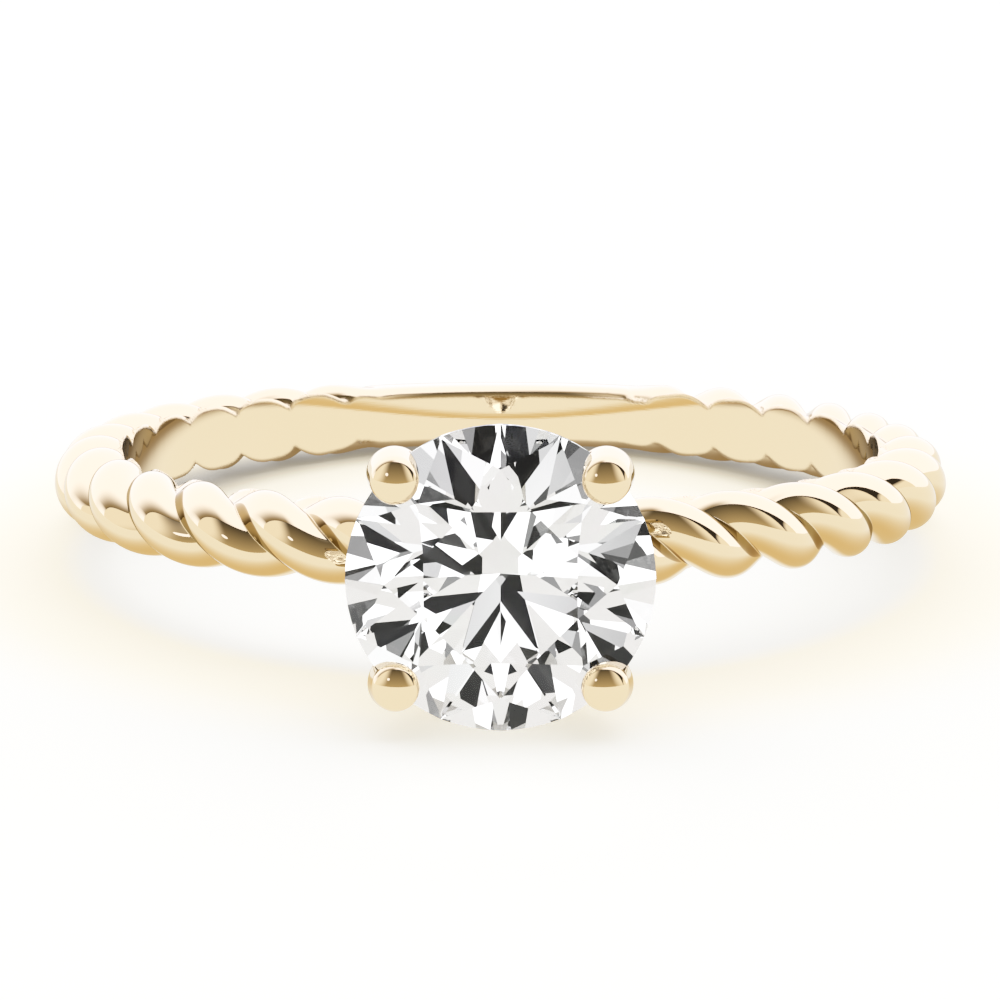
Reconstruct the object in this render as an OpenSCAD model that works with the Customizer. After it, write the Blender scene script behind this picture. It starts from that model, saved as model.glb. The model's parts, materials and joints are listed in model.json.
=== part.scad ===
// Solitaire ring with a twisted shank: two thick strands laid as a rope round the front and sides,
// a plain rounded band at the back, and a four prong head that holds a round brilliant.
// It lies on its side on the floor, on the lower edge of the stone and the back of the rope.
// +Z is up and the stone looks along -Y. The origin is on the floor, below the middle of the ring.

/* [Shank] */
// Diameter of the finger hole
finger_d = 17.3; // [15.3:0.1:20.3]
// Thickness of the rope, across both strands
rope_d = 1.83; // [1.6:0.01:2.1]
// Length of rope in which a strand goes round once
rope_lay = 3.61; // [3.2:0.01:4.2]
// How deep the finger hole cuts into the rope
inner_cut = 0.32; // [0.26:0.01:0.36]
// Angle that the plain band takes up at the back
plain_arc = 36; // [20:1:60]
// Height of the plain band, along the finger
plain_h = 1.54; // [1.4:0.01:1.8]

/* [Stone] */
// Diameter of the stone
stone_d = 6.1; // [5.5:0.1:6.8]
// Width of the table across its corners, as a share of the diameter
table_share = 0.53; // [0.5:0.01:0.62]
// Slope of the eight kite facets
crown_slope = 33; // [31:0.5:36]
// Slope of the eight main facets below the girdle
pavilion_slope = 40.5; // [39.5:0.5:41.5]
// Turn of the stone about its own axis
stone_turn = 22.5; // [0:0.5:45]

/* [Head] */
// Height of the stone's point over the saddle of the shank
point_rise = 0.1; // [0.08:0.01:0.5]
// Thickness of a prong at the stone's edge
prong_d = 1.08; // [0.9:0.01:1.2]
// Thickness of the gallery rail and of the base ring
rail_d = 0.66; // [0.56:0.01:0.8]
// Clearance between the stone and its seats
seat_gap = 0.03; // [0.02:0.01:0.06]

/* [Hidden] */
$fn = 48;
step_in = 0.02;

finger_r = finger_d / 2;
rope_r = rope_d / 2;
// Middle of the rope, from the finger axis.
hoop_r = finger_r + rope_r - inner_cut;

// One strand in the rope's cross section: an ellipse off the middle, its long side round the rope.
strand_off = 0.347 * rope_r;
strand_a = rope_r - strand_off;
strand_b = 0.7 * rope_r;

// The plain band is a rounded square, flatter than the rope.
plain_b = plain_h / 2;
plain_a = 0.765 * rope_r;
plain_power = 4;

// Degrees of twist for each degree round the finger, and the strands' phase on each side.
twist = 2 * PI * hoop_r / rope_lay;
phase_left = 121;
phase_right = 53;

// Half angles of the saddle, of the hidden joint of both sides and of the plain back.
saddle_half = 6;
front_half = 16;
back_half = plain_arc / 2;
front_fade = 7;
back_fade = 14;
arm_end = 180 - back_half;

// Sections round the shank and points in each.
sides = 24;
side_step = 360 / sides;
arm_steps = 206;
back_steps = 12;

// Share of the full rope at an angle round the finger, which is 0 at the stone.
function smooth(t) = let(u = min(max(t, 0), 1)) u * u * (3 - 2 * u);
function rope_share(a) =
    smooth((abs(a) - saddle_half) / front_fade) * smooth((arm_end - abs(a)) / back_fade);

// Turn of the strands. Both sides keep the lay, and the front and the back join them.
front_turn = phase_right - phase_left - 2 * twist * front_half;
arm_turn = twist * (arm_end - front_half);
left_end = phase_left + twist * front_half;
open_turn = front_turn - 2 * arm_turn;
side_shift = round(open_turn / side_step);
back_turn = side_shift * side_step - open_turn;
function strand_turn(a) =
    a < -front_half ? left_end - twist * (a + front_half)
    : a < front_half ? left_end + front_turn * (a + front_half) / (2 * front_half)
    : a < arm_end ? left_end + front_turn - twist * (a - front_half)
    : left_end + front_turn - arm_turn + back_turn * (a - arm_end) / plain_arc;

// Distance of the surface from the middle of a section, at an angle from the line through both strands.
function strand_at(b) =
    let(
        c = abs(cos(b)),
        s = sin(b),
        p = c * c / (strand_a * strand_a) + s * s / (strand_b * strand_b),
        q = c * strand_off / (strand_a * strand_a),
        r = strand_off * strand_off / (strand_a * strand_a) - 1
    )
    (q + sqrt(max(q * q - p * r, 0))) / p;
function plain_at(b) =
    pow(pow(abs(cos(b)) / plain_a, plain_power) + pow(abs(sin(b)) / plain_b, plain_power), -1 / plain_power);

// Sections from one end of the plain back round to the other, then across the back.
angles = [
    for (i = [0:arm_steps - 1]) -arm_end + 2 * arm_end * i / arm_steps,
    for (i = [0:back_steps - 1]) arm_end + plain_arc * i / back_steps
];
rings = len(angles);
shank_points = [
    for (a = angles)
        let(w = rope_share(a), t = strand_turn(a))
        for (i = [0:sides - 1])
            let(
                b = i * side_step,
                r = w * strand_at(b) + (1 - w) * plain_at(b + t),
                d = max(hoop_r + r * cos(b + t), finger_r + step_in)
            )
            [d * sin(a), -d * cos(a), r * sin(b + t)]
];
function point_no(k, i) =
    k < rings ? k * sides + (i + sides) % sides : (i + side_shift % sides + 2 * sides) % sides;
shank_faces = [
    for (k = [0:rings - 1], i = [0:sides - 1])
        each [
            [point_no(k, i), point_no(k, i + 1), point_no(k + 1, i + 1)],
            [point_no(k, i), point_no(k + 1, i + 1), point_no(k + 1, i)]
        ]
];

// Heights in the head are distances from the finger axis. Shares below are of the stone's radius.
stone_r = stone_d / 2;
girdle_half = 0.04 * stone_r;
tip_share = 0.985;
star_share = 0.745;
lower_share = 0.23;
point_h = hoop_r + plain_a + point_rise;
low_h = point_h + tip_share * stone_r * tan(pavilion_slope);
girdle_h = low_h + girdle_half;
top_h = girdle_h + girdle_half;
table_h = top_h + (tip_share - table_share) * stone_r * tan(crown_slope);
star_h = top_h + (tip_share - star_share * cos(22.5)) * stone_r * tan(crown_slope);
lower_h = point_h + lower_share * cos(22.5) * stone_r * tan(pavilion_slope);

// Prong: a leaning rod, a round shoulder at the girdle and a claw with a domed end just under the table.
prong_r = prong_d / 2;
foot_r = 0.8 * prong_r;
base_ring_r = 1.2;
base_ring_h = hoop_r + plain_a + 0.14;
shoulder_out = stone_r - 0.05;
shoulder_h = girdle_h - 0.18;
dome_out = stone_r - 0.17;
dome_h = girdle_h + 0.41;
lean = atan2(shoulder_out - base_ring_r, shoulder_h - base_ring_h);

// Gallery rail: just clear of the stone's underside.
rail_h = girdle_h - 1.35;
rail_out = (rail_h - point_h) / tan(pavilion_slope) + (rail_d / 2 + 3 * seat_gap) / sin(pavilion_slope);

// Rest on the floor: turned until the head and the back of the rope are equally low. The head is
// lowest at the edge of the stone, or at its claws where they are thick.
edge_h = low_h + (1 - tip_share) / (tip_share - lower_share) * (low_h - lower_h);
claw_side = shoulder_out * sin(45);
function front_low(t) =
    min(edge_h * sin(t) - stone_r * cos(t), shoulder_h * sin(t) - claw_side * cos(t) - prong_r);
function back_low(t) = min([for (p = shank_points) if (p[1] > 0) p[2] * cos(t) - p[1] * sin(t)]);
function settle(t, n) =
    n == 0 ? t : settle(t - (front_low(t) - back_low(t)) / (shoulder_h + hoop_r) * 180 / PI, n - 1);
rest_tilt = settle(5.8, 4);
lift = -front_low(rest_tilt);
back_y = max([for (p = shank_points) p[1] * cos(rest_tilt) + p[2] * sin(rest_tilt)]);
table_drop = table_share * stone_r * cos((stone_turn + 22.5) % 45 - 22.5);
front_y = min(
    -table_h * cos(rest_tilt) - table_drop * sin(rest_tilt),
    -dome_h * cos(rest_tilt) - dome_out * sin(45) * sin(rest_tilt) - prong_r
);

module lay_down() {
    translate([0, -(back_y + front_y) / 2, lift])
    rotate([-rest_tilt, 0, 0])
    children();
}

// Stands a head drawn upwards on the front of the shank.
module at_front() {
    rotate([90, 0, 0])
    children();
}

module rope_shank() {
    polyhedron(points = shank_points, faces = shank_faces, convexity = 10);
}

// The true round wall of the finger hole, inside the narrowest part of the rope.
module finger_wall() {
    rotate_extrude($fn = 180)
    translate([finger_r, -0.46 * rope_r])
    square([0.38 * rope_r, 0.92 * rope_r]);
}

module wire_ring(r, d) {
    rotate_extrude($fn = 96)
    translate([r, 0])
    circle(d = d, $fn = 32);
}

module prong() {
    translate([base_ring_r, 0, base_ring_h])
    rotate([0, lean, 0])
    cylinder(h = (shoulder_h - base_ring_h) / cos(lean), r1 = foot_r, r2 = prong_r);
    translate([shoulder_out, 0, shoulder_h])
    sphere(r = prong_r);
    claw_len = norm([shoulder_out - dome_out, dome_h - shoulder_h]);
    translate([shoulder_out, 0, shoulder_h])
    rotate([0, -atan2(shoulder_out - dome_out, dome_h - shoulder_h), 0])
    cylinder(h = claw_len, r = prong_r);
    translate([dome_out, 0, dome_h])
    sphere(r = prong_r);
}

// Room for the stone: cones a little outside every facet.
module stone_room() {
    g = seat_gap;
    rotate_extrude($fn = 96)
    polygon([
        [0, point_h - 2 * g],
        [lower_share * stone_r + g, lower_h - g],
        [stone_r + g, low_h - g],
        [stone_r + g, top_h + g],
        [star_share * stone_r + g, star_h + g],
        [table_share * stone_r + g, table_h + g],
        [0, table_h + g]
    ]);
}

module head() {
    difference() {
        union() {
            translate([0, 0, base_ring_h])
            wire_ring(base_ring_r, rail_d);
            translate([0, 0, rail_h])
            wire_ring(rail_out, rail_d);
            for (a = [45:90:315])
                rotate([0, 0, a])
                prong();
        }
        stone_room();
    }
}

module shank_and_head() {
    color([0.83, 0.68, 0.37])
    lay_down() {
        rope_shank();
        finger_wall();
        at_front()
        head();
    }
}

// Points of the stone at equal steps round its axis.
function around(n, first, share, h) = [
    for (k = [0:n - 1])
        let(a = first + 360 / n * k)
        [share * stone_r * cos(a), share * stone_r * sin(a), h]
];

// Table, stars, kites and girdle facets over and under, drawn a little past the girdle.
module facets() {
    rim = 1.02;
    past = cos(11.25) * (rim - tip_share);
    top_drop = past / (cos(11.25) * (tip_share - star_share)) * (star_h - top_h);
    low_rise = past / (cos(11.25) * (tip_share - lower_share)) * (low_h - lower_h);
    polyhedron(
        points = concat(
            around(8, 0, table_share, table_h),
            around(8, 22.5, star_share, star_h),
            around(8, 0, tip_share, top_h),
            around(16, 0, rim, top_h - top_drop),
            around(16, 0, rim, low_h + low_rise),
            around(8, 0, tip_share, low_h),
            around(8, 22.5, lower_share, lower_h),
            [[0, 0, point_h]]
        ),
        faces = [
            [for (k = [0:7]) 7 - k],
            for (k = [0:7])
                let(n = (k + 1) % 8, l = (k + 7) % 8, u = 24 + 2 * k, v = 24 + 2 * n)
                each [
                    [k, n, 8 + k],
                    [k, 8 + k, 16 + k, 8 + l],
                    [8 + k, u + 1, u, 16 + k],
                    [8 + k, 16 + n, v, u + 1],
                    [u, u + 1, u + 17, u + 16],
                    [u + 1, v, v + 16, u + 17],
                    [64 + k, 56 + k, u + 16, u + 17],
                    [64 + k, u + 17, v + 16, 56 + n],
                    [72, 64 + l, 56 + k, 64 + k]
                ]
        ]
    );
}

module brilliant() {
    intersection() {
        facets();
        translate([0, 0, point_h - 1])
        cylinder(h = table_h - point_h + 2, r = stone_r, $fn = 96);
    }
}

module stone() {
    color([0.93, 0.95, 0.97])
    lay_down()
    at_front()
    rotate([0, 0, stone_turn])
    brilliant();
}

shank_and_head();
stone();
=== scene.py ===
"""A solitaire ring with a rope-twisted shank, lying on its side on a pale floor.

The rope and the plain back of the shank, and the head with its four claws, are grown by
Geometry Nodes from named sizes. The stone is the frame's own solid with a diamond material.
"""

import json
import math

import bpy
from bpy.props import FloatProperty, FloatVectorProperty, IntProperty, PointerProperty
from bpy.types import Operator, Panel, PropertyGroup
from mathutils import Matrix, Vector


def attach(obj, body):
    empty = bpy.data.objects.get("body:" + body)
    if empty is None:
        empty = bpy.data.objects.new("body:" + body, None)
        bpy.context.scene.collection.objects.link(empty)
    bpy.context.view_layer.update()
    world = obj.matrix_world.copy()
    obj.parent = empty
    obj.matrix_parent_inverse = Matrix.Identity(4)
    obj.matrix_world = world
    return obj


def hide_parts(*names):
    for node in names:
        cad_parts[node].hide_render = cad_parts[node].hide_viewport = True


bl_info = {
    "name": "Twisted Shank Ring",
    "version": (1, 0, 0),
    "blender": (4, 5, 0),
    "location": "3D View > Sidebar > Ring",
    "description": "Builds a solitaire ring with a rope-twisted shank, and its stage",
    "category": "Add Mesh",
}

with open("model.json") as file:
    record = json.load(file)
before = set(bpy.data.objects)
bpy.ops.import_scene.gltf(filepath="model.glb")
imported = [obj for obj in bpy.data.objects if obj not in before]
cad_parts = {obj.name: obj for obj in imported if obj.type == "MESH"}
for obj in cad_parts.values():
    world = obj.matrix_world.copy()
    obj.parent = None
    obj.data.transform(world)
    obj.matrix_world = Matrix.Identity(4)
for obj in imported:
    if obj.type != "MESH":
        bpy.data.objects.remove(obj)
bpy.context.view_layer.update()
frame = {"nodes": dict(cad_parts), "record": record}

MM = 0.001
MOUNT = {m["name"]: m for m in frame["record"]["mounts"]}["finger_hole"]
HOLE_CENTRE = Vector(MOUNT["pos_m"])
HOLE_AXIS = Vector(MOUNT["axis"])
LEAN = math.atan2(HOLE_AXIS.y, HOLE_AXIS.z)

# The ring is drawn round the axis of the finger hole with its stone towards -Y, then laid down.
LAY_DOWN = Matrix.Translation(HOLE_CENTRE) @ Matrix.Rotation(-LEAN, 4, "X")
HEAD_TO_RING = Matrix.Rotation(math.pi / 2, 4, "X")

# The camera was fitted to the ring in its own frame: distance, height angle and focal length.
CAMERA_DISTANCE = 86.63 * MM
CAMERA_HEIGHT = math.radians(9.35)
FOCAL_PIXELS = 3776
PICTURE = 1000
RING_CENTRE_PIXEL = (500.5, 472.7)
SENSOR_WIDTH = 36.0

# Points of a closed skin that are nearer than this are one point.
SAME_POINT = 1e-6
# Keeps a division from running to infinity.
TINY = 1e-3
BLACK = (0.0, 0.0, 0.0, 1.0)

# Polished gold: a richer tone of it, and the painted shade it takes where it is seen in other
# gold, once and more than once, which darkens the grooves between the strands.
GOLD_RICHER = (0.985, 0.965, 0.93)
GOLD_PAINTED_SHADE = (0.28, 0.205, 0.085, 1.0)
GOLD_PAINTED_DEEP_SHADE = (0.02, 0.012, 0.004, 1.0)
# Patches of tone and gloss, and hairlines, in waves a metre.
TONE_SCALE = 260.0
GLOSS_SCALE = 900.0
HAIRLINE_SCALE = (1500.0, 1500.0, 24000.0)
HAIRLINE_DEPTH = 2e-6
SMOOTHEST = 0.008
ROUGHER = 0.02
# How far the shading rounds an edge, how much more the rims of the inside wall, and how far from
# that wall.
EDGE_RADIUS = 0.03 * MM
RIM_RADIUS = 0.10 * MM
RIM_REACH = 0.3 * MM

# Diamond: how it bends light, its faint patches of tint, painted coloured glints that stand in for
# its fire, and how little its faces gleam.
DIAMOND_IOR = 2.417
PAINTED_FIRE_SHARE = 0.03
PAINTED_FIRE_SCALE = 900.0
FACE_GLEAM = (0.05, 0.05, 0.045, 1.0)


class ShankSizes(PropertyGroup):
    """Sizes of the rope and of the plain back."""

    finger_d: FloatProperty(
        name="Finger hole", description="Diameter of the finger hole",
        default=2 * MOUNT["dims"]["r_mm"] * MM, unit="LENGTH", precision=5)
    rope_d: FloatProperty(
        name="Rope thickness", description="Thickness across both strands",
        default=1.83 * MM, unit="LENGTH", precision=5)
    rope_lay: FloatProperty(
        name="Lay", description="Length of rope in which a strand goes round once",
        default=3.61 * MM, unit="LENGTH", precision=5)
    inner_cut: FloatProperty(
        name="Inner cut", description="How deep the finger hole cuts into the rope",
        default=0.32 * MM, unit="LENGTH", precision=5)
    plain_arc: FloatProperty(
        name="Plain arc", description="Angle that the plain band takes up at the back",
        default=math.radians(36), subtype="ANGLE", unit="ROTATION")
    plain_h: FloatProperty(
        name="Plain height", description="Height of the plain band, along the finger",
        default=1.54 * MM, unit="LENGTH", precision=5)
    wall_h: FloatProperty(
        name="Wall height", description="Height of the inside wall at the notches of its rims",
        default=0.86 * MM, unit="LENGTH", precision=5)
    scallop_h: FloatProperty(
        name="Scallop", description="Height of a scallop of the rim over the notches beside it",
        default=0.36 * MM, unit="LENGTH", precision=5)
    phase_left: FloatProperty(
        name="Left phase", description="Turn of the strands at the stone, left side",
        default=math.radians(121), subtype="ANGLE", unit="ROTATION")
    phase_right: FloatProperty(
        name="Right phase", description="Turn of the strands at the stone, right side",
        default=math.radians(53), subtype="ANGLE", unit="ROTATION")
    sections: IntProperty(
        name="Sections", description="Sections round the hoop", default=960, min=200)
    sides: IntProperty(
        name="Sides", description="Points in a section, a multiple of four", default=88, min=24)


class HeadSizes(PropertyGroup):
    """Sizes of the prongs and of the two rings that join them, from the middle of the stone."""

    base_ring_r: FloatProperty(
        name="Base ring", description="Radius of the base ring",
        default=1.2 * MM, unit="LENGTH", precision=5)
    base_ring_h: FloatProperty(
        name="Base ring height", description="Distance of the base ring from the finger's axis",
        default=10.085 * MM, unit="LENGTH", precision=5)
    rail_r: FloatProperty(
        name="Gallery rail", description="Radius of the gallery rail",
        default=2.213 * MM, unit="LENGTH", precision=5)
    rail_h: FloatProperty(
        name="Rail height", description="Distance of the rail from the finger's axis",
        default=11.383 * MM, unit="LENGTH", precision=5)
    rail_d: FloatProperty(
        name="Rail thickness", description="Thickness of the rail and of the base ring",
        default=0.66 * MM, unit="LENGTH", precision=5)
    foot_r: FloatProperty(
        name="Foot", description="Radius of a prong at its foot",
        default=0.432 * MM, unit="LENGTH", precision=5)
    shoulder_r: FloatProperty(
        name="Shoulder", description="Radius of a prong at the stone's edge",
        default=0.54 * MM, unit="LENGTH", precision=5)
    shoulder_out: FloatProperty(
        name="Shoulder reach", description="Distance of a shoulder from the stone's axis",
        default=3.0 * MM, unit="LENGTH", precision=5)
    shoulder_h: FloatProperty(
        name="Shoulder height", description="Distance of a shoulder from the finger's axis",
        default=12.553 * MM, unit="LENGTH", precision=5)
    top_out: FloatProperty(
        name="Claw top reach", description="Distance of a claw's top from the stone's axis",
        default=2.85 * MM, unit="LENGTH", precision=5)
    top_h: FloatProperty(
        name="Claw top height", description="Distance of a claw's top from the finger's axis",
        default=13.683 * MM, unit="LENGTH", precision=5)
    seat_scale: FloatProperty(
        name="Seat", description="Size of the seat that is cut for the stone, over the stone's own",
        default=1.008, min=1.0)


class Finish(PropertyGroup):
    """Colours and the light of the stage."""

    gold: FloatVectorProperty(
        name="Gold", description="Colour of the polished gold", subtype="COLOR", size=3,
        default=(0.95, 0.70, 0.42), min=0, max=1)
    diamond: FloatVectorProperty(
        name="Diamond", description="Colour of the stone", subtype="COLOR", size=3,
        default=(1.0, 1.0, 1.0), min=0, max=1)
    floor: FloatVectorProperty(
        name="Floor", description="Colour of the floor", subtype="COLOR", size=3,
        default=(0.84, 0.80, 0.66), min=0, max=1)
    ceiling: FloatProperty(
        name="Ceiling light", description="Brightness of the wide soft light overhead",
        default=1.5, min=0)


class Field:
    """A number inside a node tree. Sums and products of fields become Math nodes."""

    def __init__(self, tree, socket):
        self.tree = tree
        self.socket = socket

    def math(self, operation, *values):
        node = self.tree.nodes.new("ShaderNodeMath")
        node.operation = operation
        for slot, value in zip(node.inputs, values):
            feed(self.tree, value, slot)
        return Field(self.tree, node.outputs[0])

    def __add__(self, other):
        return self.math("ADD", self, other)

    def __radd__(self, other):
        return self.math("ADD", other, self)

    def __sub__(self, other):
        return self.math("SUBTRACT", self, other)

    def __rsub__(self, other):
        return self.math("SUBTRACT", other, self)

    def __mul__(self, other):
        return self.math("MULTIPLY", self, other)

    def __rmul__(self, other):
        return self.math("MULTIPLY", other, self)

    def __truediv__(self, other):
        return self.math("DIVIDE", self, other)

    def __rtruediv__(self, other):
        return self.math("DIVIDE", other, self)

    def __neg__(self):
        return self.math("MULTIPLY", self, -1.0)

    def power(self, exponent):
        return self.math("POWER", self, exponent)

    def root(self):
        return self.math("SQRT", self)

    def size(self):
        return self.math("ABSOLUTE", self)

    def cos(self):
        return self.math("COSINE", self)

    def sin(self):
        return self.math("SINE", self)

    def whole(self):
        return self.math("ROUND", self)

    def floor(self):
        return self.math("FLOOR", self)

    def least(self, other):
        return self.math("MINIMUM", self, other)

    def most(self, other):
        return self.math("MAXIMUM", self, other)

    def clamp(self):
        return self.most(0.0).least(1.0)

    def smooth(self):
        t = self.clamp()
        return t * t * (3.0 - 2.0 * t)


def feed(tree, value, slot):
    """Links a field or socket to a slot, or sets the slot to a plain value."""
    if isinstance(value, Field):
        value = value.socket
    if isinstance(value, bpy.types.NodeSocket):
        tree.links.new(value, slot)
    else:
        slot.default_value = value


def add(tree, kind, settings=None, **inputs):
    """A new node, with its settings and with its inputs fed by name."""
    node = tree.nodes.new(kind)
    for name, value in (settings or {}).items():
        setattr(node, name, value)
    for name, value in inputs.items():
        feed(tree, value, node.inputs[name.replace("_", " ")])
    return node


def vector(tree, x, y, z):
    return add(tree, "ShaderNodeCombineXYZ", X=x, Y=y, Z=z).outputs[0]


def geometry_tree(name, sizes):
    """A geometry tree whose inputs are a property group's sizes, and those inputs as fields."""
    tree = bpy.data.node_groups.new(name, "GeometryNodeTree")
    tree.interface.new_socket("Geometry", in_out="OUTPUT", socket_type="NodeSocketGeometry")
    identifiers = {}
    for key, prop in type(sizes).bl_rna.properties.items():
        if key in ("rna_type", "name"):
            continue
        kind = "NodeSocketInt" if prop.type == "INT" else "NodeSocketFloat"
        socket = tree.interface.new_socket(prop.name, in_out="INPUT", socket_type=kind)
        socket.default_value = prop.default
        identifiers[key] = socket.identifier
    entry = tree.nodes.new("NodeGroupInput")
    fields = {key: Field(tree, next(s for s in entry.outputs if s.identifier == identifier))
              for key, identifier in identifiers.items()}
    return tree, fields, identifiers


def end_tree(tree, geometry, material):
    """Ends a geometry tree in plain, shaded geometry with its material."""
    real = add(tree, "GeometryNodeRealizeInstances", Geometry=geometry)
    painted = add(tree, "GeometryNodeSetMaterial", Geometry=real.outputs[0], Material=material)
    tree.links.new(painted.outputs[0], tree.nodes.new("NodeGroupOutput").inputs[0])


def sharpen_rim(mesh, hole):
    """Marks the rim of a round hole about Z as sharp, however flat the angle to its wall is."""
    near, upright = 2.0 * SAME_POINT, 0.05
    on_wall = [abs(math.hypot(v.co.x, v.co.y) - hole) < near for v in mesh.vertices]
    sides = {}
    for face in mesh.polygons:
        wall = all(on_wall[v] for v in face.vertices) and abs(face.normal.z) < upright
        for key in face.edge_keys:
            sides.setdefault(key, set()).add(wall)
    sharp = mesh.attributes["sharp_edge"]
    for edge in mesh.edges:
        if len(sides[edge.key]) == 2:
            sharp.data[edge.index].value = True


def grown(name, tree, identifiers, sizes, matrix, sharp, hole=None):
    """A plain mesh piece from a geometry tree, moved to its place, with its sharp edges marked.

    Edges of an angle over sharp are sharp, and so is the rim of a hole of the radius hole.
    """
    seed = bpy.data.objects.new(name + "_seed", bpy.data.meshes.new(name + "_seed"))
    bpy.context.scene.collection.objects.link(seed)
    modifier = seed.modifiers.new(name, "NODES")
    modifier.node_group = tree
    for key, identifier in identifiers.items():
        modifier[identifier] = getattr(sizes, key)
    depsgraph = bpy.context.evaluated_depsgraph_get()
    mesh = bpy.data.meshes.new_from_object(seed.evaluated_get(depsgraph), depsgraph=depsgraph)
    bpy.data.objects.remove(seed)
    if not mesh.polygons:
        raise RuntimeError(f"the tree of {name} made no mesh")
    mesh.name = name
    mesh.shade_smooth()
    mesh.set_sharp_from_angle(angle=sharp)
    if hole:
        sharpen_rim(mesh, hole)
    mesh.transform(matrix)
    piece = bpy.data.objects.new(name, mesh)
    bpy.context.scene.collection.objects.link(piece)
    return piece


def noise(tree, place, scale, detail=2.0):
    return add(tree, "ShaderNodeTexNoise", Vector=place, Scale=scale, Detail=detail).outputs["Fac"]


def mixed(tree, share, first, second):
    """A mix of two colours."""
    mix = add(tree, "ShaderNodeMix", {"data_type": "RGBA"})
    feed(tree, share, mix.inputs["Factor"])
    feed(tree, first, mix.inputs[6])
    feed(tree, second, mix.inputs[7])
    return mix.outputs[2]


def new_material(name):
    material = bpy.data.materials.new(name)
    material.use_nodes = True
    tree = material.node_tree
    return material, tree, tree.nodes["Principled BSDF"]


def polished_gold(finish):
    """Mirror polished gold: its tone and gloss change a little, and hairlines cross it.

    Gold that is seen in gold gets a darker base colour: painted shade, as in the grooves between
    the strands.
    """
    if "polished_gold" in bpy.data.materials:
        return bpy.data.materials["polished_gold"]
    material, tree, shader = new_material("polished_gold")
    place = add(tree, "ShaderNodeTexCoord").outputs["Object"]
    tone = Field(tree, noise(tree, place, TONE_SCALE))
    richer = tuple(c * s for c, s in zip(finish.gold, GOLD_RICHER)) + (1.0,)
    colour = mixed(tree, tone, (*finish.gold, 1.0), richer)
    # Painted shade: the base colour darkens with the ray depth, so gold seen in gold, as in the
    # grooves between the strands, is darker.
    depth = Field(tree, add(tree, "ShaderNodeLightPath").outputs["Ray Depth"])
    deep = mixed(tree, (depth - 1.0).clamp(), GOLD_PAINTED_SHADE, GOLD_PAINTED_DEEP_SHADE)
    feed(tree, mixed(tree, depth.clamp(), colour, deep), shader.inputs["Base Color"])
    gloss = Field(tree, noise(tree, place, GLOSS_SCALE, 4.0))
    feed(tree, gloss * ROUGHER + SMOOTHEST, shader.inputs["Roughness"])
    hair = add(tree, "ShaderNodeMapping", Vector=place, Scale=HAIRLINE_SCALE)
    lines = noise(tree, hair.outputs[0], 1.0, 3.0)
    # The same place, measured from the finger hole and its axis.
    round_hole = add(
        tree, "ShaderNodeMapping", {"vector_type": "TEXTURE"}, Vector=place,
        Location=tuple(HOLE_CENTRE), Rotation=(-LEAN, 0.0, 0.0), Scale=(1.0, 1.0, 1.0))
    spot = add(tree, "ShaderNodeSeparateXYZ", Vector=round_hole.outputs[0])
    across, ahead = (Field(tree, spot.outputs[axis]) for axis in "XY")
    off_wall = (across * across + ahead * ahead).root() - MOUNT["dims"]["r_mm"] * MM
    at_rim = 1.0 - (off_wall / RIM_REACH).clamp()
    rounded = add(
        tree, "ShaderNodeBevel", {"samples": 8}, Radius=at_rim * RIM_RADIUS + EDGE_RADIUS)
    bump = add(
        tree, "ShaderNodeBump", Strength=0.03, Distance=HAIRLINE_DEPTH, Height=lines,
        Normal=rounded.outputs[0])
    feed(tree, bump.outputs[0], shader.inputs["Normal"])
    shader.inputs["Metallic"].default_value = 1.0
    return material


def cut_diamond(finish):
    """Clear diamond, with a faint tint that changes from place to place: painted coloured glints
    for its fire.
    """
    material, tree, shader = new_material("cut_diamond")
    place = add(tree, "ShaderNodeTexCoord").outputs["Object"]
    # Painted glints: patches of faint tint stand in for the stone's coloured fire.
    cells = add(tree, "ShaderNodeTexVoronoi", Vector=place, Scale=PAINTED_FIRE_SCALE)
    painted_fire = mixed(tree, PAINTED_FIRE_SHARE, (*finish.diamond, 1.0), cells.outputs["Color"])
    feed(tree, painted_fire, shader.inputs["Base Color"])
    shader.inputs["Roughness"].default_value = 0.0
    shader.inputs["IOR"].default_value = DIAMOND_IOR
    shader.inputs["Specular Tint"].default_value = FACE_GLEAM
    shader.inputs["Transmission Weight"].default_value = 1.0
    return material


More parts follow.
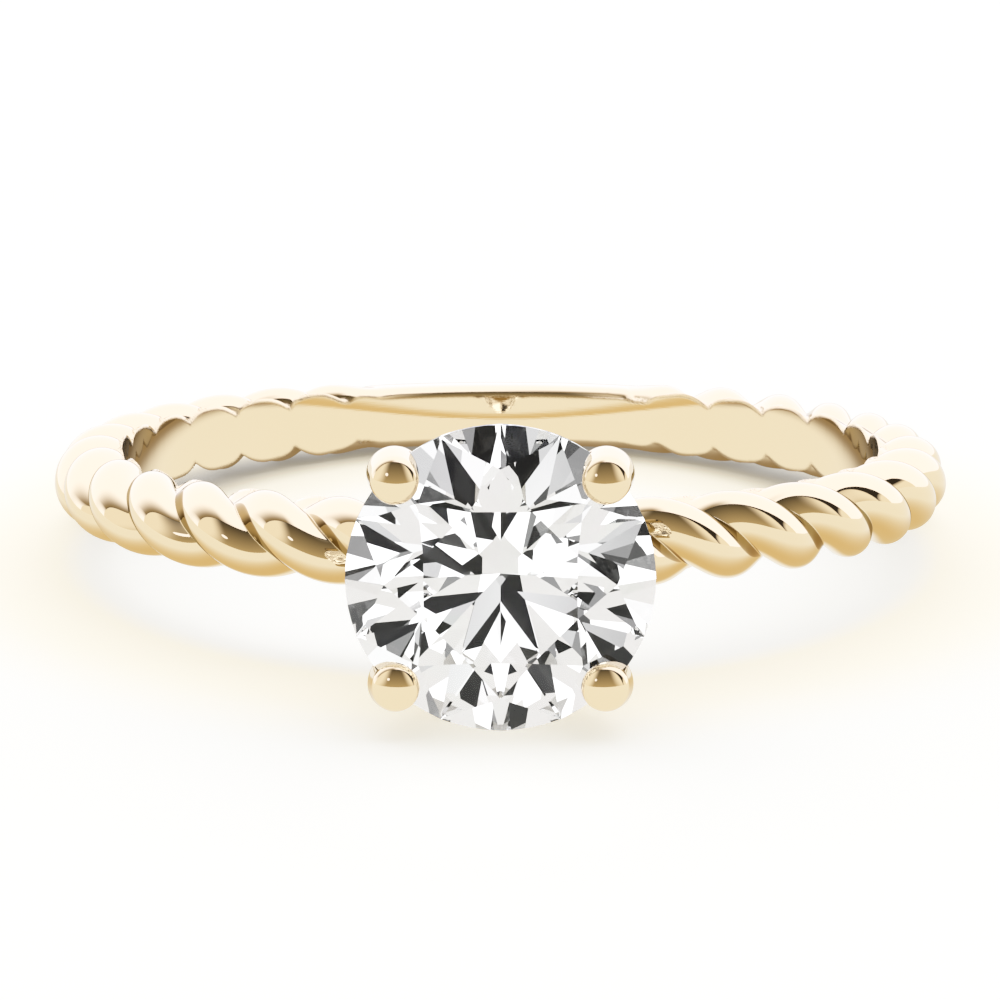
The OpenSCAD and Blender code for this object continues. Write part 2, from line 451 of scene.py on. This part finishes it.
class RING_OT_twisted_shank(Operator):
    """Build the shank: two strands laid as a rope, and the plain back"""

    bl_idname = "ring.twisted_shank"
    bl_label = "Twisted Shank"

    # Angles from the stone, or from the plain back, within which the rope fades out.
    SADDLE_HALF = math.radians(6)
    FRONT_FADE = math.radians(7)
    BACK_FADE = math.radians(14)
    # The strands of both sides are joined within this angle, under the head.
    FRONT_HALF = math.radians(16)
    # Middle and half height of a strand, as shares of the rope's radius.
    STRAND_OFF = 0.347
    STRAND_HIGH = 0.7
    # Half thickness of the plain back, outside and inside, as shares of the rope's radius, how
    # quickly one runs into the other, and how square its section is.
    PLAIN_DEEP = 0.765
    PLAIN_DEEP_INSIDE = 0.70
    PLAIN_CHANGE = 4.0
    PLAIN_POWER = 4.0
    # How softly the strands run into the inside wall.
    EASE = 0.10 * MM
    # Turn of the strands at a notch of the rim, and shape of the arches.
    NOTCH = math.radians(86)
    ARCH_POWER = 0.7
    # The inside wall's core: slope of its top, reach past the wall, and how quickly it ends
    # towards the outside.
    CORE_SLOPE = 0.6
    CORE_REACH = 1.35
    CORE_END = 8.0
    HOLE_SIDES = 720

    def execute(self, context):
        sizes = context.scene.ring_shank
        tree, f, identifiers = geometry_tree("Twisted shank", sizes)
        finger = f["finger_d"] / 2.0
        rope = f["rope_d"] / 2.0
        hoop = finger + rope - f["inner_cut"]
        row = f["sides"] + 1.0
        index = Field(tree, add(tree, "GeometryNodeInputIndex").outputs[0])
        section = ((index + 0.5) / row).floor()
        side = index - section * row
        arm_end = math.pi - f["plain_arc"] / 2.0
        angle = 2.0 * math.pi * section / f["sections"] - arm_end
        side_step = 2.0 * math.pi / f["sides"]
        turn = self.strand_turn(f, hoop, angle, arm_end, side_step)
        out = side * side_step
        share = self.rope_share(angle, arm_end)
        radius = share * self.strand_at(out, rope) + (1.0 - share) * self.plain_at(
            out + turn, rope, f["plain_h"] / 2.0)
        core = self.core_at(
            out + turn, hoop - finger, f["wall_h"] / 2.0 + f["scallop_h"] * share * self.arch(
                turn, (out + turn).sin()))
        radius = radius.math("SMOOTH_MAX", radius, core, self.EASE)
        reach = hoop + radius * (out + turn).cos()
        place = vector(
            tree, reach * angle.sin(), -(reach * angle.cos()), radius * (out + turn).sin())
        grid = add(tree, "GeometryNodeMeshGrid", Vertices_X=f["sections"] + 1.0, Vertices_Y=row)
        hose = add(tree, "GeometryNodeSetPosition", Geometry=grid.outputs[0], Position=place)
        closed = add(
            tree, "GeometryNodeMergeByDistance", Geometry=hose.outputs[0], Distance=SAME_POINT)
        hole = add(
            tree, "GeometryNodeMeshCylinder", Vertices=self.HOLE_SIDES, Radius=finger,
            Depth=f["rope_d"] * 4.0)
        cut = add(
            tree, "GeometryNodeMeshBoolean", {"operation": "DIFFERENCE", "solver": "MANIFOLD"})
        tree.links.new(closed.outputs[0], cut.inputs[0])
        tree.links.new(hole.outputs[0], cut.inputs[1])
        end_tree(tree, cut.outputs[0], polished_gold(context.scene.ring_finish))
        shank = grown(
            "shank", tree, identifiers, sizes, LAY_DOWN, math.radians(30), sizes.finger_d / 2)
        shank.visible_transmission = False
        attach(shank, "root")
        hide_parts("shank_and_head")
        return {"FINISHED"}

    def strand_turn(self, f, hoop, angle, arm_end, side_step):
        """Turn of the strands. Both sides keep the lay, and the front and the back join them."""
        twist = 2.0 * math.pi * hoop / f["rope_lay"]
        half = self.FRONT_HALF
        front_turn = f["phase_right"] - f["phase_left"] - 2.0 * half * twist
        arm_turn = twist * (arm_end - half)
        left_end = f["phase_left"] + twist * half
        open_turn = front_turn - 2.0 * arm_turn
        back_turn = (open_turn / side_step).whole() * side_step - open_turn
        left = twist * (angle + half).least(0.0)
        front = front_turn * ((angle + half) / (2.0 * half)).clamp()
        right = twist * (angle - half).most(0.0).least(arm_end - half)
        back = back_turn * ((angle - arm_end) / f["plain_arc"]).clamp()
        return left_end - left + front - right + back

    def rope_share(self, angle, arm_end):
        """Share of the full rope, which is 0 at the saddle and in the plain back."""
        front = ((angle.size() - self.SADDLE_HALF) / self.FRONT_FADE).smooth()
        back = ((arm_end - angle.size()) / self.BACK_FADE).smooth()
        return front * back

    def strand_at(self, out, rope):
        """Distance of the two strands' surface from the rope's middle."""
        off = rope * self.STRAND_OFF
        deep = rope - off
        high = rope * self.STRAND_HIGH
        c = out.cos().size()
        s = out.sin()
        p = c * c / (deep * deep) + s * s / (high * high)
        q = c * off / (deep * deep)
        r = off * off / (deep * deep) - 1.0
        return (q + (q * q - p * r).most(0.0).root()) / p

    def arch(self, turn, up):
        """Arches between the notches, each where a strand leaves the upper or the lower rim."""
        upper = up.math("GREATER_THAN", up, 0.0) * 2.0 - 1.0
        part = (self.NOTCH - turn * upper) / math.pi
        part = part - part.floor()
        return (part * math.pi).sin().most(0.0).power(self.ARCH_POWER)

    def core_at(self, out, deep, high):
        """Distance of the inside wall's core, which fills the grooves towards the finger."""
        inward = (-out.cos()).most(TINY)
        upward = out.sin().size().most(TINY)
        ramp = self.CORE_SLOPE
        top = (high - deep * ramp) / (upward - inward * ramp).most(TINY)
        core = (deep * self.CORE_REACH / inward).least(top)
        return core * (-out.cos() * self.CORE_END).clamp()

    def plain_at(self, out, rope, high):
        """Distance of the plain back's surface from its middle."""
        n = self.PLAIN_POWER
        inside, outside = self.PLAIN_DEEP_INSIDE, self.PLAIN_DEEP
        deep = rope * (inside + (out.cos() * self.PLAIN_CHANGE).clamp() * (outside - inside))
        total = (out.cos().size() / deep).power(n) + (out.sin().size() / high).power(n)
        return total.power(-1.0 / n)


class RING_OT_claw_head(Operator):
    """Build the head: four prongs with their claws, the base ring and the gallery rail"""

    bl_idname = "ring.claw_head"
    bl_label = "Claw Head"

    ROD_STEPS = 40
    DOME_STEPS = 44
    AROUND = 72
    # How softly a prong bends at its shoulder.
    BEND = 0.5 * MM
    # A claw narrows by this share, and is capped by a part of a larger ball.
    TAPER = 0.15
    CAP_RADIUS = 0.65 * MM
    CAP_EASE = 0.12 * MM
    # How late in its rise a claw leans inwards.
    LEAN_POWER = 1.5
    # Height below the shoulder over which a rod's oval section turns round.
    OVAL_END = 0.7 * MM
    # Points round the base ring and the rail, and round their wire.
    WIRE_STEPS = 180
    WIRE_SIDES = 48
    # The seat grows from this height above the shoulders.
    SEAT_RISE = 0.18 * MM

    def execute(self, context):
        sizes = context.scene.ring_head
        tree, f, identifiers = geometry_tree("Claw head", sizes)
        prongs = self.prongs(tree, f)
        wires = [self.wire(tree, f["base_ring_r"], f["base_ring_h"], f["rail_d"]),
                 self.wire(tree, f["rail_r"], f["rail_h"], f["rail_d"])]
        joined = add(tree, "GeometryNodeMeshBoolean", {"operation": "UNION", "solver": "MANIFOLD"})
        for part in (prongs, *wires):
            tree.links.new(part, joined.inputs[1])
        seat = self.seat(tree, f)
        cut = add(
            tree, "GeometryNodeMeshBoolean", {"operation": "DIFFERENCE", "solver": "MANIFOLD"})
        tree.links.new(joined.outputs[0], cut.inputs[0])
        tree.links.new(seat, cut.inputs[1])
        end_tree(tree, cut.outputs[0], polished_gold(context.scene.ring_finish))
        head = grown(
            "head", tree, identifiers, sizes, LAY_DOWN @ HEAD_TO_RING, math.radians(32))
        head.visible_transmission = False
        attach(head, "root")
        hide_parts("shank_and_head")
        return {"FINISHED"}

    def prongs(self, tree, f):
        """Four prongs, each a stack of rounds: a leaning rod and a claw with a full dome."""
        rod_out = f["shoulder_out"] - f["base_ring_r"]
        rod_up = f["shoulder_h"] - f["base_ring_h"]
        claw_up = f["top_h"] - f["shoulder_h"]
        row = self.AROUND + 1.0
        index = Field(tree, add(tree, "GeometryNodeInputIndex").outputs[0])
        level = ((index + 0.5) / row).floor()
        turn = (index - level * row) * (-2.0 * math.pi / self.AROUND)
        rod = ((level - 1.0) / float(self.ROD_STEPS)).clamp()
        dome = 1.0 - ((level - 1.0 - self.ROD_STEPS) / float(self.DOME_STEPS)).clamp()
        rise = 1.0 - dome * dome
        below = (claw_up * dome * dome).least(self.CAP_RADIUS)
        cap = (below * (2.0 * self.CAP_RADIUS) - below * below).most(0.0).root()
        side = f["shoulder_r"] * (1.0 - self.TAPER * rise)
        up = f["base_ring_h"] + rod_up * rod + claw_up * rise
        rod_line = f["base_ring_r"] + rod_out * (up - f["base_ring_h"]) / rod_up
        lean_in = f["shoulder_out"] - f["top_out"]
        claw_line = f["shoulder_out"] - lean_in * rise.power(self.LEAN_POWER)
        out = rod_line.math("SMOOTH_MIN", rod_line, claw_line, self.BEND)
        foot = f["foot_r"] / f["shoulder_r"]
        thick = cap.math("SMOOTH_MIN", cap, side, self.CAP_EASE) * level.clamp()
        # The last round is drawn together to a point, as the first is.
        thick = thick * dome.math("GREATER_THAN", dome, 1e-4) * (foot + (1.0 - foot) * rod)
        # A round section of the leaning rod, cut level, is an oval.
        oval = (rod_out * rod_out + rod_up * rod_up).root() / rod_up - 1.0
        oval = oval * ((f["shoulder_h"] - up) / self.OVAL_END).smooth() + 1.0
        place = vector(tree, out + thick * oval * turn.cos(), thick * turn.sin(), up)
        grid = add(
            tree, "GeometryNodeMeshGrid", Vertices_Y=self.AROUND + 1,
            Vertices_X=self.ROD_STEPS + self.DOME_STEPS + 2)
        hose = add(tree, "GeometryNodeSetPosition", Geometry=grid.outputs[0], Position=place)
        closed = add(
            tree, "GeometryNodeMergeByDistance", Geometry=hose.outputs[0],
            Distance=SAME_POINT / 2)
        # Four points on the stone's axis, for one prong each.
        feet = add(tree, "GeometryNodeMeshCircle", Vertices=4, Radius=1e-9)
        number = Field(tree, add(tree, "GeometryNodeInputIndex").outputs[0])
        heading = vector(tree, 0.0, 0.0, math.pi / 4 + number * (math.pi / 2))
        four = add(
            tree, "GeometryNodeInstanceOnPoints", Points=feet.outputs[0],
            Instance=closed.outputs[0], Rotation=heading)
        return four.outputs[0]

    def wire(self, tree, radius, height, thickness):
        """A ring of round wire about the stone's axis."""
        path = add(
            tree, "GeometryNodeCurvePrimitiveCircle", Resolution=self.WIRE_STEPS, Radius=radius)
        round_wire = add(
            tree, "GeometryNodeCurvePrimitiveCircle", Resolution=self.WIRE_SIDES,
            Radius=thickness / 2.0)
        ring = add(
            tree, "GeometryNodeCurveToMesh", Curve=path.outputs[0],
            Profile_Curve=round_wire.outputs[0])
        lifted = add(
            tree, "GeometryNodeTransform", Geometry=ring.outputs[0],
            Translation=vector(tree, 0.0, 0.0, height))
        return lifted.outputs[0]

    def seat(self, tree, f):
        """Room for the stone: the frame's own stone, a little larger, in the head's own frame."""
        stone = add(tree, "GeometryNodeObjectInfo", Object=frame["nodes"]["stone"])
        solid = add(
            tree, "GeometryNodeMergeByDistance", Geometry=stone.outputs["Geometry"],
            Distance=SAME_POINT / 2)
        back = (LAY_DOWN @ HEAD_TO_RING).inverted()
        upright = add(
            tree, "GeometryNodeTransform", Geometry=solid.outputs[0],
            Translation=tuple(back.to_translation()), Rotation=tuple(back.to_euler()))
        middle = f["shoulder_h"] + self.SEAT_RISE
        grow = f["seat_scale"]
        larger = add(
            tree, "GeometryNodeTransform", Geometry=upright.outputs[0],
            Translation=vector(tree, 0.0, 0.0, middle * (1.0 - grow)),
            Scale=vector(tree, grow, grow, grow))
        return larger.outputs[0]


class RING_OT_brilliant(Operator):
    """Give the frame's stone its diamond material"""

    bl_idname = "ring.brilliant"
    bl_label = "Round Brilliant"

    def execute(self, context):
        stone = frame["nodes"]["stone"]
        stone.data.materials.clear()
        stone.data.materials.append(cut_diamond(context.scene.ring_finish))
        stone.visible_shadow = False
        return {"FINISHED"}


class RING_OT_stage(Operator):
    """Set the pale floor, the soft studio light and the camera"""

    bl_idname = "ring.stage"
    bl_label = "Stage"

    FLOOR_HALF = 1.5
    # Where the light overhead ends towards the camera, and the small lamp, with its soft edge.
    EDGE_HEIGHT = math.radians(75)
    EDGE_SOFT = 0.005
    LAMP_WAY = (-0.5, -0.75, 0.43)
    LAMP_SIZE = math.radians(5.5)
    LAMP_SOFT = 0.0008
    # Colours of the light, as shares of its full brightness.
    OVERHEAD = (0.97, 1.01, 1.22, 1.0)
    OVERHEAD_RIM = (0.13, 0.105, 0.06, 1.0)
    LOW_WALL = (0.24, 0.20, 0.12, 1.0)
    HIGH_WALL = (0.025, 0.023, 0.018, 1.0)
    SIDE_WALL = (0.62, 0.60, 0.56, 1.0)
    GAP = (0.012, 0.011, 0.01, 1.0)
    # The floor's colour, the colour of its own glow, what both turn to in the painted glow thrown
    # by the gold, its painted shade behind the hoop, and the painted reflection that the gold
    # mirrors of it near the hoop and far from it.
    FLOOR_SEEN = (1.0, 0.985, 0.83, 1.0)
    FLOOR_EMISSION = (1.0, 0.96, 0.88, 1.0)
    FLOOR_PAINTED_GLOW = (1.0, 0.89, 0.64, 1.0)
    FLOOR_SHADE = (0.10, 0.07, 0.03, 1.0)
    MIRRORED_PAINTED_SHADE = (0.60, 0.46, 0.25, 1.0)
    MIRRORED_PAINTED_FAR = (0.92, 0.94, 0.92, 1.0)
    FLOOR_ROUGHNESS = 0.9
    FLOOR_GLOSS = 0.1
    # Middle of the hoop's metal, and the middle and reach of the painted pool of light under the
    # stone.
    HOOP_RADIUS = 9.25 * MM
    PAINTED_POOL_AHEAD = 14.3 * MM
    PAINTED_POOL_REACH = 4.5 * MM
    # How brightly the floor glows: everywhere, to the camera, in the painted glow of the gold
    # and in the painted pool of light under the stone.
    EMISSION_LEAST = 0.06
    EMISSION_SEEN = 0.28
    EMISSION_PAINTED_GLOW = 0.10
    EMISSION_PAINTED_POOL = 0.12
    # The stone's own light: its brightness, where its patches are taken from and their size,
    # their greys by share, and the black disc round the camera.
    GEM_STRENGTH = 2.0
    PATCHES = (8.76, 15.72, 5.64)
    PATCH_SCALE = 5.2
    GREYS = ((0.0, 0.004), (0.16, 0.03), (0.28, 0.11), (0.40, 0.30), (0.52, 0.6), (0.64, 1.0))
    DISC = (0.006, 0.006, 0.007, 1.0)
    DISC_HEIGHT = 0.26
    DISC_SIZE = math.radians(12.0)
    DISC_SOFT = 0.02
    # The tone curve is steep in the shadows, and whatever is brighter than WHITE is white.
    WHITE = 1.25
    SHOULDER = 1.7
    BOUNCES = 24

    def execute(self, context):
        finish = context.scene.ring_finish
        self.floor(context, finish)
        self.sky(context, finish)
        self.camera(context)
        self.tone(context)
        return {"FINISHED"}

    def floor(self, context, finish):
        """The floor: painted glow round the hoop, painted shade behind it, painted light under the
        stone.
        """
        mesh = bpy.data.meshes.new("floor")
        s = self.FLOOR_HALF
        mesh.from_pydata([(-s, -s, 0), (s, -s, 0), (s, s, 0), (-s, s, 0)], [], [(0, 1, 2, 3)])
        floor = bpy.data.objects.new("floor", mesh)
        context.scene.collection.objects.link(floor)
        material, tree, shader = new_material("pale_floor")
        place = add(tree, "ShaderNodeTexCoord").outputs["Object"]
        grain = noise(tree, place, 300.0, 3.0)
        path = add(tree, "ShaderNodeLightPath")
        seen = Field(tree, path.outputs["Is Camera Ray"])
        clear = Field(tree, path.outputs["Is Transmission Ray"])
        mirrored = Field(tree, path.outputs["Is Glossy Ray"]) * (1.0 - clear)
        glow, shade, far, painted_pool = self.floor_zones(tree, place)
        # Painted light and shade: to the camera the floor warms in the painted glow round the hoop
        # and darkens in painted shade behind it.
        lit = mixed(tree, glow, self.FLOOR_SEEN, self.FLOOR_PAINTED_GLOW)
        lit = mixed(tree, shade * 0.45, lit, self.FLOOR_SHADE)
        lit = mixed(tree, seen * (Field(tree, grain) * 0.05 + 0.95), (*finish.floor, 1.0), lit)
        # Painted reflection: the gold sees the floor glow with a painted image of it, darker and
        # golden near the hoop as painted shade, pale far from it, with painted shade behind the
        # hoop.
        painted_reflection = mixed(tree, far, self.MIRRORED_PAINTED_SHADE, self.MIRRORED_PAINTED_FAR)
        painted_reflection = mixed(tree, shade * 0.8, painted_reflection, self.FLOOR_SHADE)
        # The floor's own glow colour takes on the painted glow of the gold and the painted shade as
        # well.
        emission_colour = mixed(tree, glow, self.FLOOR_EMISSION, self.FLOOR_PAINTED_GLOW)
        emission_colour = mixed(tree, shade * 0.6, emission_colour, self.FLOOR_SHADE)
        # Painted light: the floor glows brighter in the painted glow of the gold and in the painted
        # pool under the stone.
        bright = glow * self.EMISSION_PAINTED_GLOW + painted_pool * self.EMISSION_PAINTED_POOL + self.EMISSION_SEEN
        bright = seen * bright + self.EMISSION_LEAST
        # To the gold the floor is black and glows with the painted reflection; other rays see it
        # lit, with its own glow.
        feed(tree, mixed(tree, mirrored, lit, BLACK), shader.inputs["Base Color"])
        feed(tree, mixed(tree, mirrored, emission_colour, painted_reflection), shader.inputs["Emission Color"])
        feed(tree, mirrored + (1.0 - mirrored) * bright, shader.inputs["Emission Strength"])
        shader.inputs["Roughness"].default_value = self.FLOOR_ROUGHNESS
        shader.inputs["Specular IOR Level"].default_value = self.FLOOR_GLOSS
        mesh.materials.append(material)

    def floor_zones(self, tree, place):
        """Shares of the floor's painted glow, painted shade, mirrored far colour and painted light
        under the stone.
        """
        spot = add(tree, "ShaderNodeSeparateXYZ", Vector=place)
        across = Field(tree, spot.outputs["X"])
        ahead = Field(tree, spot.outputs["Y"]) - HOLE_CENTRE.y
        out = (across * across + ahead * ahead).root() - self.HOOP_RADIUS
        near = out.size()
        # Painted glow of the gold, in a band round the hoop.
        glow = (near / (1.0 * MM)).smooth() * (1.0 - (near - 2.0 * MM) / (3.5 * MM)).smooth()
        # Inside the hoop, only its back gets the painted glow.
        glow = glow * ((out / (0.5 * MM)).clamp() + (ahead / (4.0 * MM)).smooth()).clamp()
        shade = (1.0 - (near - 0.5 * MM) / (1.2 * MM)).smooth() * (ahead / (5.0 * MM)).smooth()
        outside = ((out - 0.5 * MM) / (4.5 * MM)).smooth()
        inside = ((-out - 0.1 * MM) / (1.1 * MM)).smooth()
        # Painted pool of light on the floor under the stone.
        under = ahead + HOLE_CENTRE.y + self.PAINTED_POOL_AHEAD
        painted_pool = (1.0 - (across * across + under * under).root() / self.PAINTED_POOL_REACH).smooth()
        return glow, shade, outside + inside, painted_pool

    def sky(self, context, finish):
        """White light from behind and overhead, and a dark hollow on the camera's side.

        The hollow lies between the horizon and the front edge of the light overhead, and is
        darkest right under that edge. A small lamp stands in its left half. What shines through
        the stone is a light of its own.
        """
        world = bpy.data.worlds.new("studio")
        context.scene.world = world
        world.use_nodes = True
        tree = world.node_tree
        way = add(tree, "ShaderNodeTexCoord").outputs["Generated"]
        split = add(tree, "ShaderNodeSeparateXYZ", Vector=way)
        x, y, z = (Field(tree, split.outputs[axis]) for axis in "XYZ")
        edge = self.EDGE_HEIGHT
        # How far a direction is past the edge, how high it is in the hollow, and how far aside.
        over = y * math.sin(edge) + z * math.cos(edge)
        rise = (z.math("ARCTAN2", z, -y) / edge).clamp()
        aside = x.size()
        reach = 0.60 - rise * 0.42
        hollow = mixed(tree, rise.power(0.8), self.LOW_WALL, self.HIGH_WALL)
        hollow = mixed(tree, ((aside - reach) / 0.4).smooth(), hollow, self.SIDE_WALL)
        # The gap under the edge, which is wider on the right, and the edge's own dim rim.
        right = x.most(0.0)
        line = ((over + 0.025 + right * right * 0.45) / 0.02).clamp()
        line = line * ((0.95 - aside) / 0.04).clamp()
        hollow = mixed(tree, line, hollow, self.GAP)
        left = (0.35 - x * 3.0).clamp() * 0.8 + 0.2
        dim = ((0.12 - x) / 0.3).smooth() * ((0.99 - aside) / 0.08).clamp() * left
        overhead = mixed(
            tree, dim * (1.0 - over / 0.5).smooth(), self.OVERHEAD, self.OVERHEAD_RIM)
        seen = mixed(tree, (over / self.EDGE_SOFT).clamp(), hollow, overhead)
        to_lamp = add(tree, "ShaderNodeVectorMath", {"operation": "DOT_PRODUCT"})
        feed(tree, way, to_lamp.inputs[0])
        feed(tree, self.LAMP_WAY, to_lamp.inputs[1])
        lamp = Field(tree, to_lamp.outputs["Value"]) - math.cos(self.LAMP_SIZE)
        lamp = lamp / self.LAMP_SOFT
        seen = mixed(tree, lamp.clamp(), seen, self.OVERHEAD)
        metal_light = add(tree, "ShaderNodeBackground", Color=seen, Strength=finish.ceiling)
        gem_light = add(
            tree, "ShaderNodeBackground", Color=self.gem_light(tree, way),
            Strength=self.GEM_STRENGTH)
        path = add(tree, "ShaderNodeLightPath")
        both = add(tree, "ShaderNodeMixShader", Fac=path.outputs["Is Transmission Ray"])
        tree.links.new(metal_light.outputs[0], both.inputs[1])
        tree.links.new(gem_light.outputs[0], both.inputs[2])
        tree.links.new(both.outputs[0], tree.nodes["World Output"].inputs[0])

    def gem_light(self, tree, way):
        """Patches of black, grey and white, with black round the camera."""
        patches = add(tree, "ShaderNodeVectorMath", {"operation": "ADD"})
        feed(tree, way, patches.inputs[0])
        feed(tree, self.PATCHES, patches.inputs[1])
        cells = add(
            tree, "ShaderNodeTexVoronoi", Vector=patches.outputs[0], Scale=self.PATCH_SCALE)
        tone = add(tree, "ShaderNodeSeparateColor", Color=cells.outputs["Color"])
        ramp = add(tree, "ShaderNodeValToRGB", Fac=tone.outputs[0])
        ramp.color_ramp.interpolation = "CONSTANT"
        stops = ramp.color_ramp.elements
        while len(stops) < len(self.GREYS):
            stops.new(0.5)
        for stop, (position, level) in zip(stops, self.GREYS):
            stop.position = position
            stop.color = (level, level, level, 1.0)
        toward = add(tree, "ShaderNodeVectorMath", {"operation": "DOT_PRODUCT"})
        feed(tree, way, toward.inputs[0])
        height = self.DISC_HEIGHT
        feed(tree, (0.0, -math.cos(height), math.sin(height)), toward.inputs[1])
        near = (Field(tree, toward.outputs["Value"]) - math.cos(self.DISC_SIZE)) / self.DISC_SOFT
        return mixed(tree, near.clamp(), ramp.outputs[0], self.DISC)

    def camera(self, context):
        data = bpy.data.cameras.new("camera")
        camera = bpy.data.objects.new("camera", data)
        context.scene.collection.objects.link(camera)
        context.scene.camera = camera
        away = Vector((0.0, -math.cos(CAMERA_HEIGHT), math.sin(CAMERA_HEIGHT))) * CAMERA_DISTANCE
        camera.location = LAY_DOWN @ away
        look = HOLE_CENTRE - camera.location
        camera.rotation_euler = look.to_track_quat("-Z", "Y").to_euler()
        data.sensor_width = SENSOR_WIDTH
        data.lens = FOCAL_PIXELS / PICTURE * data.sensor_width
        data.shift_x = (PICTURE / 2 - RING_CENTRE_PIXEL[0]) / PICTURE
        data.shift_y = (RING_CENTRE_PIXEL[1] - PICTURE / 2) / PICTURE
        data.clip_start = 0.001
        data.clip_end = 10.0

    def tone(self, context):
        """The picture's tones: a soft shoulder, as a photograph's, and enough light bounces."""
        view = context.scene.view_settings
        view.view_transform = "Standard"
        view.use_curve_mapping = True
        mapping = view.curve_mapping
        mapping.white_level = (self.WHITE,) * 3
        curve = mapping.curves[3]
        full = 1.0 - math.exp(-self.SHOULDER * self.WHITE)
        for step in (0.04, 0.1, 0.2, 0.32, 0.45, 0.6, 0.8):
            bright = 1.0 - math.exp(-self.SHOULDER * self.WHITE * step)
            curve.points.new(step, bright / full)
        mapping.update()
        cycles = context.scene.cycles
        cycles.max_bounces = self.BOUNCES
        cycles.glossy_bounces = self.BOUNCES
        cycles.transmission_bounces = self.BOUNCES


class RING_PT_panel(Panel):
    """The pieces of the ring"""

    bl_idname = "RING_PT_panel"
    bl_label = "Twisted Shank Ring"
    bl_space_type = "VIEW_3D"
    bl_region_type = "UI"
    bl_category = "Ring"

    def draw(self, context):
        layout = self.layout
        for operator in OPERATORS:
            layout.operator(operator.bl_idname)
        for group in (context.scene.ring_shank, context.scene.ring_head, context.scene.ring_finish):
            box = layout.box()
            for key in group.bl_rna.properties.keys():
                if key not in ("rna_type", "name"):
                    box.prop(group, key)


OPERATORS = (RING_OT_twisted_shank, RING_OT_claw_head, RING_OT_brilliant, RING_OT_stage)
GROUPS = {"ring_shank": ShankSizes, "ring_head": HeadSizes, "ring_finish": Finish}


def register():
    for cls in (*GROUPS.values(), *OPERATORS, RING_PT_panel):
        bpy.utils.register_class(cls)
    for name, group in GROUPS.items():
        setattr(bpy.types.Scene, name, PointerProperty(type=group))


def unregister():
    for name in GROUPS:
        delattr(bpy.types.Scene, name)
    for cls in reversed((*GROUPS.values(), *OPERATORS, RING_PT_panel)):
        bpy.utils.unregister_class(cls)


def main():
    register()
    bpy.ops.ring.twisted_shank()
    bpy.ops.ring.claw_head()
    bpy.ops.ring.brilliant()
    bpy.ops.ring.stage()


if __name__ == "__main__":
    main()
